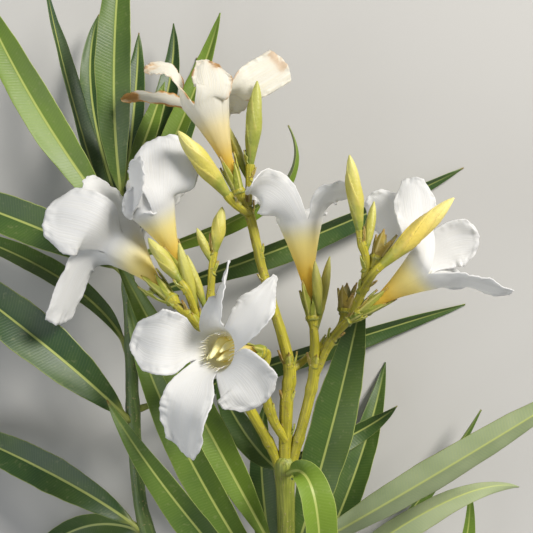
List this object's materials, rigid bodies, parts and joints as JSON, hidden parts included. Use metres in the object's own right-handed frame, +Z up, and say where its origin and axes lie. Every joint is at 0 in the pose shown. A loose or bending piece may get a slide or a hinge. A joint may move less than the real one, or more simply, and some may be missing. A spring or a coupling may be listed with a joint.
{
  "type": "cut flowering oleander branch",
  "caption": "Forked leafy branch of white oleander, cut at its foot and lying down, with open flowers, buds and long narrow leaves.",
  "frame": {"origin": "middle of the bounding box's underside, on the table that the branch lies on", "axes": "+Y from the cut end to the leaf tips, +X to the right of it seen from above, +Z up from the table"},
  "size_m": [0.2093, 0.2624, 0.0814],
  "materials": {
    "stem": "smooth green bark",
    "flower_stalk": "smooth, yellow-green",
    "leaf": "leathery, slightly waxy",
    "petal": "soft and thin",
    "petal_faded": "soft, withered at the edges",
    "bud": "smooth, yellow-green"
  },
  "bodies": {
    "root": {"main_stem": "stem", "left_shoot_foot": "stem", "left_shoot_stem": "stem", "leaf_right_long": "leaf", "leaf_right_upright": "leaf", "leaf_left_inner": "leaf", "leaf_left_outer": "leaf", "leaf_left_front": "leaf", "leaf_right_narrow": "leaf", "leaf_arched": "leaf", "leaf_behind_fork": "leaf", "leaf_left_short": "leaf", "leaf_behind_stem": "leaf", "leaf_right_back": "leaf", "leaf_right_low": "leaf", "leaf_right_hooked": "leaf", "leaf_foot_left": "leaf", "leaf_foot_back": "leaf", "leaf_shoot_lowest": "leaf", "leaf_shoot_low_back": "leaf", "leaf_shoot_broad": "leaf", "leaf_shoot_across": "leaf", "leaf_shoot_thin": "leaf", "leaf_shoot_long": "leaf", "leaf_shoot_upper": "leaf", "leaf_shoot_curled": "leaf", "leaf_top_slanting": "leaf", "leaf_top_edge": "leaf", "leaf_top_tall": "leaf", "leaf_top_back": "leaf", "leaf_top_dark": "leaf", "leaf_top_mid": "leaf", "leaf_top_right": "leaf", "leaf_top_low": "leaf", "leaf_top_young": "leaf", "flower_front": "petal", "flower_left": "petal", "flower_left_upper": "petal", "flower_top": "petal_faded", "flower_centre": "petal", "flower_right": "petal", "bud_top_tall": "bud", "bud_top_left": "bud", "bud_right_long": "bud", "bud_right_upright": "bud", "bud_left_small": "bud", "bud_left_withered": "bud", "flower_stalk_centre": "flower_stalk", "flower_stalk_left": "flower_stalk", "flower_stalk_right": "flower_stalk"}
  },
  "joints": []
}
